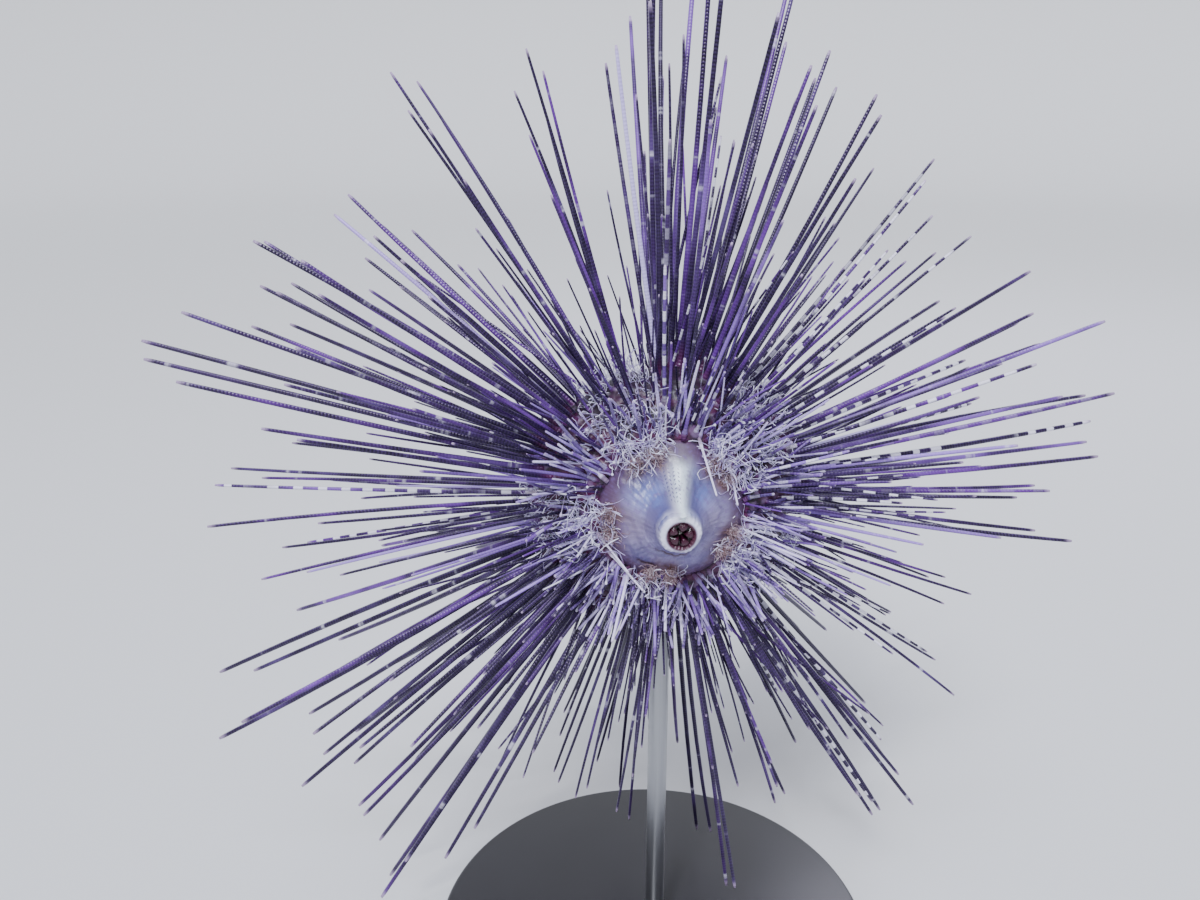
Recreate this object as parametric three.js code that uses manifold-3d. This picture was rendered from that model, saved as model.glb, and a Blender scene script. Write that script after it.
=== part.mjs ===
// A long-spined sea urchin, life size, held on a plain display stand.
// The mouth faces -Y, as on an animal that clings to an upright pane, and the anal cone faces +Y.
// Units are millimetres, +Z is up, and the origin is the middle of the underside of the stand's base.
//
// The body is worked out in the animal's own frame: x to the right, y up, z out of the mouth.
// A bearing is the angle round the mouth in degrees, from x towards y.
// A station is a place along a meridian of the test, from 0 at the mouth's membrane to 1 at the apical disc.
import * as THREE from "three";
import { mergeVertices } from "three/addons/utils/BufferGeometryUtils.js";
import Module from "manifold-3d";

const wasm = await Module();
wasm.setup();

// Driving dimensions of the test, the animal's shell
const testRadius = 30;
const oralHeight = 15;
const aboralHeight = 17;
const testSquareness = 2.3;
const peristomeRadius = 16.8;
const apicalRadius = 8.3;
const seatDepth = 0.8;
const firstInterradius = 79;
const ambulacrumWidth = 31;
const testFacets = 40;
const testRings = 12;

// The gap that touching pieces keep
const gap = 0.3;

// Driving dimensions of the mouth
const coneHeight = 15;
const lipRadius = 3.7;
const mouthRadius = 3.1;
const mouthDepth = 6.5;
const ridgeHeight = 0.9;

// Driving dimensions of the apical disc and the anal cone
const discThickness = 1.3;
const analRadius = 3.8;
const analHeight = 5.6;

// Driving dimensions of the stand
const bodyHeight = 140;
const bodyForward = 8;
const baseRadius = 60;
const baseThickness = 8;
const baseChamfer = 1.2;
const baseFacets = 36;
const rodRadius = 2.5;
const rodFacets = 16;
const rodBehindWidest = 3;
const rodSocketDepth = 5;

// The spines stand in fans, each with its bearing and how far it reaches from the middle of the test
const fans = [
  { bearing: 10, reach: 107 },
  { bearing: 22, reach: 106 },
  { bearing: 33, reach: 92 },
  { bearing: 45, reach: 97 },
  { bearing: 60, reach: 101 },
  { bearing: 74, reach: 110 },
  { bearing: 90, reach: 126 },
  { bearing: 102, reach: 100 },
  { bearing: 114, reach: 98 },
  { bearing: 125, reach: 116 },
  { bearing: 137, reach: 86 },
  { bearing: 150, reach: 99 },
  { bearing: 163, reach: 120 },
  { bearing: 180, reach: 116 },
  { bearing: 195, reach: 96 },
  { bearing: 209, reach: 130 },
  { bearing: 222, reach: 124 },
  { bearing: 239, reach: 138 },
  { bearing: 257, reach: 100 },
  { bearing: 273, reach: 124 },
  { bearing: 291, reach: 99 },
  { bearing: 306, reach: 113 },
  { bearing: 320, reach: 95 },
  { bearing: 336, reach: 88 },
  { bearing: 351, reach: 102 },
];
const fanPull = 0.3;

// What changes along a meridian, as [station, value]:
// a spine's share of the reach, and its lean from the mouth's axis
const spineShare = [
  [0, 0.11],
  [0.1, 0.2],
  [0.2, 0.38],
  [0.3, 0.6],
  [0.4, 0.76],
  [0.55, 0.88],
  [0.75, 1],
  [0.9, 0.88],
  [1, 0.6],
];
const spineLean = [
  [0, 56],
  [0.2, 70],
  [0.4, 86],
  [0.6, 104],
  [0.8, 128],
  [1, 152],
];

// The columns of spines on each kind of plate, by bearing from the plate's middle
const interambulacralSpines = { columns: [-14, -5, 5, 14], rows: 11, stout: 1, length: 1, sides: 4 };
const ambulacralSpines = { columns: [-6, 6], rows: 11, stout: 0.8, length: 0.9, sides: 3 };
const outerColumn = { from: 10, firstStation: 0.06, lastStation: 0.86 };
const shortSpines = { perPlate: 8, length: 26, radius: 0.42 };
const firstSpine = 0.035;
const lastSpine = 0.95;
const rootDepth = 1.5;
const shoulder = { along: 0.7, radius: 0.6 };
const frontLimit = 32;
const floorMargin = 3;

// Driving dimensions of the soft parts that grow from the skin
const tubeFeet = { columns: [-11.5, 11.5], rows: 6, lastStation: 0.45, length: 11, radius: 0.34 };
const gills = { fromInterradius: 27, filaments: 4, length: 4.6, radius: 0.42 };
const buccalFeet = { fromInterradius: 31, distance: 8.6, length: 2.4, radius: 0.45 };

const radians = THREE.MathUtils.degToRad;

// A number from 0 to 1 that is always the same for the same keys
function chance(...keys) {
  const strides = [12.9898, 78.233, 37.719, 9.151, 4.1414];
  const wave = Math.sin(keys.reduce((sum, key, i) => sum + key * strides[i], 1.7)) * 43758.5453;
  return wave - Math.floor(wave);
}

const either = (...keys) => 2 * chance(...keys) - 1;

function alongTable(table, at) {
  const after = table.findIndex(([station]) => station >= at);
  if (after === 0) return table[0][1];
  const [from, low] = table[after - 1];
  const [to, high] = table[after];
  return low + ((high - low) * (at - from)) / (to - from);
}

// The test's outline: its radius and height at an angle from the mouth's axis
function outlineAt(angle) {
  const power = 2 / testSquareness;
  const height = Math.cos(angle) > 0 ? oralHeight : aboralHeight;
  return {
    radius: testRadius * Math.sin(angle) ** power,
    height: height * Math.sign(Math.cos(angle)) * Math.abs(Math.cos(angle)) ** power,
  };
}

// The angle of each station, by equal steps along the outline
const angleAtRadius = (radius) => Math.asin((radius / testRadius) ** (testSquareness / 2));
const firstAngle = angleAtRadius(peristomeRadius);
const lastAngle = Math.PI - angleAtRadius(apicalRadius);
const outlineSteps = 240;
const angleOfStep = (step) => firstAngle + ((lastAngle - firstAngle) * step) / outlineSteps;
const walked = [0];
for (let i = 1; i <= outlineSteps; i++) {
  const before = outlineAt(angleOfStep(i - 1));
  const here = outlineAt(angleOfStep(i));
  walked.push(walked[i - 1] + Math.hypot(here.radius - before.radius, here.height - before.height));
}

function angleAt(station) {
  const target = station * walked[outlineSteps];
  let i = 1;
  while (i < outlineSteps && walked[i] < target) i++;
  return angleOfStep(i - 1 + (target - walked[i - 1]) / (walked[i] - walked[i - 1]));
}

// A point on the test, and the way out of it there
function onTest(station, bearing) {
  const angle = angleAt(station);
  const here = outlineAt(angle);
  const above = outlineAt(angle - 0.002);
  const below = outlineAt(angle + 0.002);
  const slope = new THREE.Vector2(above.height - below.height, below.radius - above.radius).normalize();
  const c = Math.cos(radians(bearing));
  const s = Math.sin(radians(bearing));
  return {
    point: new THREE.Vector3(here.radius * c, here.radius * s, here.height),
    out: new THREE.Vector3(slope.x * c, slope.x * s, slope.y),
  };
}

function towards(lean, bearing) {
  const across = Math.sin(radians(lean));
  return new THREE.Vector3(
    across * Math.cos(radians(bearing)),
    across * Math.sin(radians(bearing)),
    Math.cos(radians(lean)),
  );
}

// The turn from one bearing to another, from -180 to 180
const turnBetween = (from, to) => ((((to - from) % 360) + 540) % 360) - 180;

// A tapered stem of few sides along points, with a radius at each. A last radius of 0 makes a pointed tip.
class StemGeometry extends THREE.BufferGeometry {
  constructor(points, radii, sides, twist = 0) {
    super();
    const pointed = radii[radii.length - 1] === 0;
    const rings = pointed ? points.length - 1 : points.length;
    const positions = [];
    const normal = new THREE.Vector3();
    for (let i = 0; i < rings; i++) {
      const ahead = points[Math.min(i + 1, points.length - 1)];
      const behind = points[Math.max(i - 1, 0)];
      const tangent = ahead.clone().sub(behind).normalize();
      if (i === 0) normal.set(Math.abs(tangent.z) < 0.8 ? 0 : 1, 0, Math.abs(tangent.z) < 0.8 ? 1 : 0);
      normal.addScaledVector(tangent, -normal.dot(tangent)).normalize();
      const binormal = tangent.clone().cross(normal);
      for (let k = 0; k < sides; k++) {
        const turn = twist + (k * 2 * Math.PI) / sides;
        const place = points[i].clone();
        place.addScaledVector(normal, Math.cos(turn) * radii[i]);
        place.addScaledVector(binormal, Math.sin(turn) * radii[i]);
        positions.push(...place.toArray());
      }
    }
    const index = [];
    for (let k = 1; k < sides - 1; k++) index.push(0, k + 1, k);
    for (let i = 0; i < rings - 1; i++) {
      for (let k = 0; k < sides; k++) {
        const a = i * sides + k;
        const b = i * sides + ((k + 1) % sides);
        index.push(a, b, b + sides, a, b + sides, a + sides);
      }
    }
    const last = (rings - 1) * sides;
    if (pointed) {
      positions.push(...points[rings].toArray());
      for (let k = 0; k < sides; k++) index.push(last + k, last + ((k + 1) % sides), last + sides);
    } else {
      for (let k = 1; k < sides - 1; k++) index.push(last, last + k, last + k + 1);
    }
    this.setAttribute("position", new THREE.Float32BufferAttribute(positions, 3));
    this.setIndex(index);
  }
}

// A shape turned round z, from [radius, height] pairs that run from the top down
function turned(profile, facets) {
  const points = profile.map(([radius, height]) => new THREE.Vector2(radius, height)).reverse();
  return new THREE.LatheGeometry(points, facets).rotateX(Math.PI / 2);
}

function solidOf(geometry) {
  const bare = new THREE.BufferGeometry();
  bare.setAttribute("position", geometry.getAttribute("position"));
  bare.setIndex(geometry.getIndex());
  const merged = mergeVertices(bare, 1e-5);
  const corners = [];
  for (let i = 0; i < merged.index.count; i += 3) {
    const [a, b, c] = [0, 1, 2].map((k) => merged.index.getX(i + k));
    if (a !== b && b !== c && c !== a) corners.push(a, b, c);
  }
  return new wasm.Manifold(
    new wasm.Mesh({
      numProp: 3,
      vertProperties: new Float32Array(merged.attributes.position.array),
      triVerts: new Uint32Array(corners),
    }),
  );
}

// The solids joined, and only the largest closed body kept
function fused(solids) {
  const whole = wasm.Manifold.union(solids);
  return whole.decompose().reduce((best, body) => (body.volume() > best.volume() ? body : best));
}

// Every stem that has been set, as straight lengths, so that the next one is kept clear of them
const lengthsSet = [];
const lengthOf = (start, end, startRadius, endRadius) => ({ start, end, startRadius, endRadius });

function gapBetween(a, b) {
  const u = a.end.clone().sub(a.start);
  const v = b.end.clone().sub(b.start);
  const w = a.start.clone().sub(b.start);
  const [uu, uv, vv, uw, vw] = [u.dot(u), u.dot(v), v.dot(v), u.dot(w), v.dot(w)];
  const clamp = (share) => Math.min(1, Math.max(0, share));
  const slant = uu * vv - uv * uv;
  let s = slant > 1e-9 ? clamp((uv * vw - vv * uw) / slant) : 0;
  const t = clamp((uv * s + vw) / vv);
  s = clamp((uv * t - uw) / uu);
  const apart = w.addScaledVector(u, s).addScaledVector(v, -t).length();
  const radiusA = a.startRadius + (a.endRadius - a.startRadius) * s;
  const radiusB = b.startRadius + (b.endRadius - b.startRadius) * t;
  return apart - radiusA - radiusB;
}

function setIfClear(lengths) {
  if (lengths.some((a) => lengthsSet.some((b) => gapBetween(a, b) < gap))) return false;
  lengthsSet.push(...lengths);
  return true;
}

// One spine, turned a little further at each trial until it clears those already there
function setSpine({ station, bearing, lengthFor, radiusFor, lean, sides, keys }) {
  const { point, out } = onTest(station, bearing);
  for (let trial = 0; trial < 12; trial++) {
    const loose = 1 + trial * 0.35;
    const heading = bearing + either(...keys, trial, 1) * 3.2 * loose;
    const away = (one) => Math.abs(turnBetween(heading, one.bearing));
    const fan = fans.reduce((best, one) => (away(one) < away(best) ? one : best));
    const direction = towards(
      lean + either(...keys, trial, 2) * 5 * loose,
      heading + fanPull * turnBetween(heading, fan.bearing),
    );
    if (direction.dot(out) < 0.42) direction.addScaledVector(out, 0.6).normalize();
    let length = lengthFor(fan.reach) * (1 - 0.05 * trial);
    if (direction.z > 0.05) length = Math.min(length, (frontLimit - point.z) / direction.z);
    const tip = point.clone().addScaledVector(direction, length);
    const heightOfTip = bodyHeight + tip.y;
    if (heightOfTip < baseThickness + floorMargin) continue;
    const radius = radiusFor(length);
    const root = point.clone().addScaledVector(out, -rootDepth);
    if (!setIfClear([lengthOf(root, tip, radius, radius * 0.45)])) continue;
    const middle = point.clone().addScaledVector(direction, length * shoulder.along);
    const radii = [radius, radius * shoulder.radius, 0];
    return solidOf(new StemGeometry([root, middle, tip], radii, sides, either(...keys, 3)));
  }
  return null;
}

// A soft foot that rises from the skin and curls over
function setFoot({ point, out, length, radius, keys, depth = rootDepth }) {
  for (let trial = 0; trial < 10; trial++) {
    const aside = new THREE.Vector3(...[1, 2, 3].map((axis) => either(...keys, trial, axis)));
    const rise = point.clone().addScaledVector(out, length * 0.45);
    const bend = rise.clone().addScaledVector(out, length * 0.25).addScaledVector(aside, length * 0.24);
    const tip = bend.clone().addScaledVector(aside, length * 0.3);
    const path = [point, rise, bend, tip];
    const lengths = path.slice(1).map((end, i) => lengthOf(path[i], end, radius, radius));
    if (!setIfClear(lengths)) continue;
    const root = point.clone().addScaledVector(out, -depth);
    const radii = [radius, radius, radius, 0.7 * radius];
    return solidOf(new StemGeometry([root, rise, bend, tip], radii, 3, aside.x));
  }
  return null;
}

const primaryRadius = (length) => 0.45 + 0.0062 * length;

// The spines of one plate: columns of primaries from mouth to apex, then short ones between them
function spinesOf(plate, kind) {
  const set = [];
  kind.columns.forEach((column, c) => {
    for (let row = 0; row < kind.rows; row++) {
      const along = (row + (c % 2 ? 0.25 : 0.75)) / kind.rows;
      const station = firstSpine + (lastSpine - firstSpine) * along ** 1.2;
      const beyond = station < outerColumn.firstStation || station > outerColumn.lastStation;
      if (Math.abs(column) > outerColumn.from && beyond) continue;
      const keys = [plate.number, c, row];
      const share = alongTable(spineShare, station) * kind.length * (0.8 + 0.2 * chance(...keys, 5));
      set.push(
        setSpine({
          station,
          bearing: plate.bearing + column + either(...keys) * 1.2,
          lengthFor: (reach) => reach * share,
          radiusFor: (length) => primaryRadius(length) * kind.stout,
          lean: alongTable(spineLean, station),
          sides: kind.sides,
          keys,
        }),
      );
    }
  });
  for (let i = 0; i < shortSpines.perPlate; i++) {
    const keys = [plate.number, 50, i];
    const station = (i + 0.5) / shortSpines.perPlate;
    set.push(
      setSpine({
        station,
        bearing: plate.bearing + either(...keys) * plate.width * 0.36,
        lengthFor: () => shortSpines.length * (0.5 + alongTable(spineShare, station)),
        radiusFor: () => shortSpines.radius,
        lean: alongTable(spineLean, station),
        sides: 3,
        keys,
      }),
    );
  }
  return set.filter(Boolean);
}

// The tube feet of one ambulacrum, in a row down each side of it
function tubeFeetOf(plate) {
  const set = [];
  tubeFeet.columns.forEach((column, c) => {
    for (let row = 0; row < tubeFeet.rows; row++) {
      const keys = [plate.number, 70 + c, row];
      const station = 0.02 + ((tubeFeet.lastStation - 0.02) * row) / tubeFeet.rows;
      const { point, out } = onTest(station, plate.bearing + column);
      const length = tubeFeet.length * (0.75 + 0.5 * chance(...keys));
      set.push(setFoot({ point, out, length, radius: tubeFeet.radius, keys }));
    }
  });
  return set.filter(Boolean);
}

// The test, whole, with seats for the membrane round the mouth and for the apical disc
const oralSeat = outlineAt(firstAngle).height - seatDepth;
const apicalSeat = outlineAt(lastAngle).height + seatDepth;
const testProfile = [
  [0, oralSeat],
  [peristomeRadius - 0.3, oralSeat],
];
for (let i = 0; i <= testRings; i++) {
  const { radius, height } = outlineAt(angleAt(i / testRings));
  testProfile.push([radius, height]);
}
testProfile.push([apicalRadius - 0.3, apicalSeat], [0, apicalSeat]);
const wholeTest = solidOf(turned(testProfile, testFacets));

const rodTop = onTest(0.5, 270).point.y + 4;
const rodSocket = solidOf(
  new THREE.CylinderGeometry(rodRadius + gap, rodRadius + gap, 20, rodFacets),
).translate([0, rodTop + gap - 10, -rodBehindWidest]);

// The rod is set first, so that every spine is kept clear of it
lengthsSet.push(
  lengthOf(
    new THREE.Vector3(0, rodTop - 6, -rodBehindWidest),
    new THREE.Vector3(0, -bodyHeight, -rodBehindWidest),
    rodRadius,
    rodRadius,
  ),
);

// A wedge of the test between two bearings, with half the gap taken off each side
function plateOf(plate) {
  const reach = testRadius * 1.5;
  const half = plate.width / 2;
  const corner = gap / 2 / Math.sin(radians(half));
  const outline = new THREE.Shape([
    new THREE.Vector2(corner, 0),
    new THREE.Vector2(corner + reach * Math.cos(radians(half)), -reach * Math.sin(radians(half))),
    new THREE.Vector2(corner + reach * Math.cos(radians(half)), reach * Math.sin(radians(half))),
  ]);
  const wedge = new THREE.ExtrudeGeometry(outline, { depth: 60, bevelEnabled: false });
  wedge.translate(0, 0, -30).rotateZ(radians(plate.bearing));
  return wholeTest.intersect(solidOf(wedge)).subtract(rodSocket);
}

// The membrane round the mouth: a cone with a ridge over each jaw, drawn up into a lip
const membraneFoot = oralSeat + gap;
const coneTop = outlineAt(firstAngle).height + coneHeight;
const membraneProfile = [
  [0, coneTop - mouthDepth],
  [mouthRadius, coneTop - mouthDepth],
  [mouthRadius, coneTop - 1.4],
  [mouthRadius + 0.15, coneTop - 0.4],
  [lipRadius, coneTop],
  [lipRadius + 0.7, coneTop - 0.6],
  [lipRadius + 1.1, coneTop - 2.2],
  [lipRadius + 1.9, coneTop - 4.6],
  [lipRadius + 3.6, coneTop - 7.4],
  [lipRadius + 6.2, coneTop - 10],
  [lipRadius + 9.2, coneTop - 12],
  [lipRadius + 11.4, coneTop - 13.4],
  [peristomeRadius - 0.3 - gap, coneTop - 15],
  [peristomeRadius - 0.3 - gap, membraneFoot],
  [0, membraneFoot],
];

function membrane() {
  const cone = turned(membraneProfile, testFacets);
  const position = cone.getAttribute("position");
  for (let i = 0; i < position.count; i++) {
    const distance = Math.hypot(position.getX(i), position.getY(i));
    if (position.getZ(i) <= coneTop - 15 || distance < lipRadius + 1) continue;
    const turn = Math.atan2(position.getY(i), position.getX(i)) - radians(firstInterradius);
    const fade = Math.sin((Math.PI * (distance - lipRadius)) / (peristomeRadius - lipRadius));
    position.setZ(i, position.getZ(i) + ridgeHeight * fade * Math.cos(5 * turn));
  }
  return solidOf(cone);
}

// A place on the membrane at a distance from the axis, on its outer side
function heightOnMembrane(distance) {
  const outer = membraneProfile.slice(4, 13);
  const after = outer.findIndex(([radius]) => radius >= distance);
  const [nearRadius, nearHeight] = outer[after - 1];
  const [farRadius, farHeight] = outer[after];
  return nearHeight + ((farHeight - nearHeight) * (distance - nearRadius)) / (farRadius - nearRadius);
}

// Ten bushy gills at the membrane's edge, and ten short buccal feet nearer the mouth
function membraneGrowths() {
  const set = [];
  for (let i = 0; i < 10; i++) {
    const side = i % 2 ? 1 : -1;
    const interradius = firstInterradius + 72 * Math.floor(i / 2);
    const gillBearing = interradius + side * gills.fromInterradius;
    const root = towards(90, gillBearing).multiplyScalar(peristomeRadius - 2.4);
    root.z = heightOnMembrane(peristomeRadius - 2.4) - 0.3;
    for (let k = 0; k < gills.filaments; k++) {
      const keys = [i, 90, k];
      const spread = (k / (gills.filaments - 1) - 0.5) * 34;
      set.push(
        setFoot({
          point: root.clone().addScaledVector(towards(90, gillBearing + 90), (k - 1.5) * 1.25),
          out: towards(24 + 10 * chance(...keys), gillBearing + spread),
          length: gills.length * (0.8 + 0.4 * chance(...keys, 1)),
          radius: gills.radius,
          keys,
          depth: 1.2,
        }),
      );
    }
    const footBearing = interradius + side * buccalFeet.fromInterradius;
    const foot = towards(90, footBearing).multiplyScalar(buccalFeet.distance);
    foot.z = heightOnMembrane(buccalFeet.distance) - 0.7;
    set.push(
      setFoot({
        point: foot,
        out: towards(38, footBearing),
        length: buccalFeet.length,
        radius: buccalFeet.radius,
        keys: [i, 95],
        depth: 1,
      }),
    );
  }
  return set.filter(Boolean);
}

// The dark inner lip: five rounded lobes round a star-shaped opening
function mouthLobes() {
  const outline = new THREE.Shape().absarc(0, 0, mouthRadius - gap, 0, 2 * Math.PI);
  const star = new THREE.Path();
  const steps = 30;
  for (let i = 0; i < steps; i++) {
    const turn = (i * 2 * Math.PI) / steps;
    const wave = Math.abs(Math.cos(2.5 * (turn - radians(firstInterradius))));
    const distance = 1.95 - 1.25 * wave ** 0.7;
    const [x, y] = [distance * Math.cos(turn), distance * Math.sin(turn)];
    if (i === 0) star.moveTo(x, y);
    else star.lineTo(x, y);
  }
  star.closePath();
  outline.holes.push(star);
  return new THREE.ExtrudeGeometry(outline, {
    depth: 2.4,
    bevelEnabled: false,
    curveSegments: 20,
  }).translate(0, 0, coneTop - mouthDepth + gap + 1.5 + gap);
}

// Five teeth on the end of the lantern, their points showing in the opening
function teeth() {
  const floor = coneTop - mouthDepth + gap;
  const disc = new THREE.CylinderGeometry(mouthRadius - gap, mouthRadius - gap, 1.5, 20);
  const pieces = [solidOf(disc.rotateX(Math.PI / 2)).translate([0, 0, floor + 0.75])];
  for (let i = 0; i < 5; i++) {
    const bearing = firstInterradius + 36 + 72 * i;
    const root = towards(90, bearing).multiplyScalar(0.8);
    root.z = floor + 0.8;
    const tip = towards(90, bearing).multiplyScalar(0.3);
    tip.z = floor + 3.6;
    pieces.push(solidOf(new StemGeometry([root, tip], [0.3, 0.1], 4)));
  }
  return fused(pieces);
}

// The plates round the anus, with the five genital plates standing out as lobes
function apicalDisc() {
  const top = apicalSeat - gap;
  const radius = apicalRadius - 0.3 - gap;
  const profile = [
    [0, top],
    [radius, top],
    [radius, top - discThickness * 0.5],
    [radius * 0.86, top - discThickness],
    [analRadius + 1.5, top - discThickness * 1.15],
    [analRadius + gap, top - discThickness * 1.15],
    [0, top - discThickness * 1.15],
  ];
  const disc = turned(profile, testFacets);
  const position = disc.getAttribute("position");
  for (let i = 0; i < position.count; i++) {
    const distance = Math.hypot(position.getX(i), position.getY(i));
    if (position.getZ(i) > top - discThickness * 0.9 || distance < analRadius + 1) continue;
    const turn = Math.atan2(position.getY(i), position.getX(i)) - radians(firstInterradius);
    position.setZ(i, position.getZ(i) - 0.3 * (1 + Math.cos(5 * turn)));
  }
  return solidOf(disc);
}

function analCone() {
  const top = apicalSeat - gap - discThickness * 1.15 - gap;
  return turned(
    [
      [0, top],
      [analRadius * 0.9, top],
      [analRadius, top - analHeight * 0.25],
      [analRadius * 0.92, top - analHeight * 0.55],
      [analRadius * 0.62, top - analHeight * 0.85],
      [analRadius * 0.36, top - analHeight],
      [analRadius * 0.2, top - analHeight * 0.94],
      [0, top - analHeight * 0.8],
    ],
    20,
  );
}

const standMaterial = new THREE.MeshStandardMaterial({ color: 0x2c2a30, roughness: 0.35 });
const steel = new THREE.MeshStandardMaterial({ color: 0xb9bcc2, roughness: 0.3, metalness: 1 });
const skin = new THREE.MeshStandardMaterial({ color: 0x3a2650, roughness: 0.55 });
const paleSkin = new THREE.MeshStandardMaterial({ color: 0xaaa6cf, roughness: 0.5 });
const darkLip = new THREE.MeshStandardMaterial({ color: 0x4a1436, roughness: 0.4 });
const enamel = new THREE.MeshStandardMaterial({ color: 0xe8e6e0, roughness: 0.3 });

const urchin = new THREE.Group();
const animal = new THREE.Group();
animal.rotation.x = Math.PI / 2;
animal.position.set(0, -bodyForward, bodyHeight);
urchin.add(animal);

function addPiece(name, shape, material, parent = animal) {
  const geometry = shape.isBufferGeometry ? shape : new THREE.BufferGeometry();
  if (!shape.isBufferGeometry) {
    const mesh = shape.getMesh();
    geometry.setAttribute("position", new THREE.BufferAttribute(new Float32Array(mesh.vertProperties), 3));
    geometry.setIndex(new THREE.BufferAttribute(new Uint32Array(mesh.triVerts), 1));
    geometry.computeVertexNormals();
  }
  const mesh = new THREE.Mesh(geometry, material);
  mesh.name = name;
  parent.add(mesh);
  return mesh;
}

const plates = [];
for (let number = 1; number <= 5; number++) {
  const interradius = firstInterradius + 72 * (number - 1);
  plates.push(
    {
      name: `interambulacrum_${number}`,
      number,
      bearing: interradius,
      width: 72 - ambulacrumWidth,
      kind: interambulacralSpines,
    },
    {
      name: `ambulacrum_${number}`,
      number: number + 5,
      bearing: interradius + 36,
      width: ambulacrumWidth,
      kind: ambulacralSpines,
    },
  );
}

// The growths round the mouth are set first; feet and spines then keep clear of them and of the membrane
const peristome = fused([membrane(), ...membraneGrowths()]);
const foldsOfMembrane = 40;
for (let i = 0; i < foldsOfMembrane; i++) {
  const bearing = (360 * i) / foldsOfMembrane;
  const foot = towards(90, bearing).multiplyScalar(peristomeRadius - 1.6);
  const lip = towards(90, bearing).multiplyScalar(lipRadius + 1);
  foot.z = membraneFoot + 1;
  lip.z = coneTop - 2;
  lengthsSet.push(lengthOf(foot, lip, 1, 0.5));
}
for (const plate of plates) plate.feet = plate.kind === ambulacralSpines ? tubeFeetOf(plate) : [];
for (const plate of plates) {
  addPiece(plate.name, fused([plateOf(plate), ...plate.feet, ...spinesOf(plate, plate.kind)]), skin);
}
addPiece("peristome", peristome, paleSkin);
addPiece("mouth_lobes", mouthLobes(), darkLip);
addPiece("teeth", teeth(), enamel);
addPiece("apical_disc", apicalDisc(), skin);
addPiece("anal_cone", analCone(), skin);

// The stand: a round base with a steel rod up to the underside of the test
const rodAt = -bodyForward + rodBehindWidest;
const rodHole = new THREE.CylinderGeometry(rodRadius + gap, rodRadius + gap, 2 * rodSocketDepth, rodFacets);
const baseSocket = solidOf(rodHole.rotateX(Math.PI / 2)).translate([0, rodAt, baseThickness]);
const base = solidOf(
  turned(
    [
      [0, baseThickness],
      [baseRadius - baseChamfer, baseThickness],
      [baseRadius, baseThickness - baseChamfer],
      [baseRadius, baseChamfer],
      [baseRadius - baseChamfer, 0],
      [0, 0],
    ],
    baseFacets,
  ),
).subtract(baseSocket);
addPiece("stand_base", base, standMaterial, urchin);
const rodFoot = baseThickness - rodSocketDepth + gap;
const rodHead = bodyHeight + rodTop;
const rod = new THREE.CylinderGeometry(rodRadius, rodRadius, rodHead - rodFoot, rodFacets);
rod.rotateX(Math.PI / 2).translate(0, rodAt, (rodHead + rodFoot) / 2);
addPiece("stand_rod", rod, steel, urchin);

export default urchin;
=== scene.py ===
import math

import bpy
import numpy as np
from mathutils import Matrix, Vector


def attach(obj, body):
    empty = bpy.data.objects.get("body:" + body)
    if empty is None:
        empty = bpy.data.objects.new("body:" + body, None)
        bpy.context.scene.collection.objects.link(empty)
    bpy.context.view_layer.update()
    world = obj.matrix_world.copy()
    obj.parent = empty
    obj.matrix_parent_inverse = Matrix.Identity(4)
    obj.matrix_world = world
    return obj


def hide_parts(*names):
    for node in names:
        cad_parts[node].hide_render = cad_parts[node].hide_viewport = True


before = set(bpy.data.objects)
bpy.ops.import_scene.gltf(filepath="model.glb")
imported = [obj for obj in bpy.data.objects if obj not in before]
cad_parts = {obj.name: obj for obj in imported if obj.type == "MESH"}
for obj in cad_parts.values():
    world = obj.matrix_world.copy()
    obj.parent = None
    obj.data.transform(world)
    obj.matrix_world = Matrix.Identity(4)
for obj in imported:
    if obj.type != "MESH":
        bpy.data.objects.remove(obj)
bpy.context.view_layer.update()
print("stage: frame loaded")

# The animal is worked out in its own frame in millimetres: x right, y up, z out of the mouth.
# A bearing goes round the mouth's axis and an angle leans away from it, both in degrees.
body = {"height": 140.0, "forward": 8.0, "rays": 5, "firstInterradius": 79.0, "gillTurn": 27.0}
test = {"radius": 30.0, "oralHeight": 15.0, "aboralHeight": 17.0, "squareness": 2.3,
        "firstAngle": 30.9, "lastAngle": 166.8}
mouth = {"top": 28.13, "lip": 3.7, "rim": 16.8}
top = mouth["top"]
rayTurn = 360.0 / body["rays"]
interradii = [body["firstInterradius"] + rayTurn * ray for ray in range(body["rays"])]
ambulacra = [interradius + rayTurn / 2.0 for interradius in interradii]
gillBearings = [interradius + side * body["gillTurn"] for interradius in interradii for side in (-1, 1)]
dice = np.random.default_rng(4314)


def toRow(points):  # from the animal's own frame to the row's frame, in metres
    points = np.asarray(points, float)
    moved = [points[..., 0], -points[..., 2] - body["forward"], points[..., 1] + body["height"]]
    return np.stack(moved, axis=-1) / 1000.0


def fromRow(points):
    points = np.asarray(points, float) * 1000.0
    moved = [points[..., 0], points[..., 2] - body["height"], -points[..., 1] - body["forward"]]
    return np.stack(moved, axis=-1)


def unit(vectors):
    return vectors / np.maximum(np.linalg.norm(vectors, axis=-1, keepdims=True), 1e-9)


def ramp(value, low, high):  # 0 at low and 1 at high, smooth between, and low may be the larger
    share = np.clip((np.asarray(value, float) - low) / (high - low), 0.0, 1.0)
    return share * share * (3.0 - 2.0 * share)


def turnBetween(first, second):
    return (np.asarray(second) - first + 540.0) % 360.0 - 180.0


def fromAxis(points):
    return np.hypot(points[..., 0], points[..., 1])


def bearingOf(points):
    return np.degrees(np.arctan2(points[..., 1], points[..., 0])) % 360.0


def aroundAxis(across, turn, height):
    return np.stack([across * np.cos(turn), across * np.sin(turn), height], axis=-1)


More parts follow.
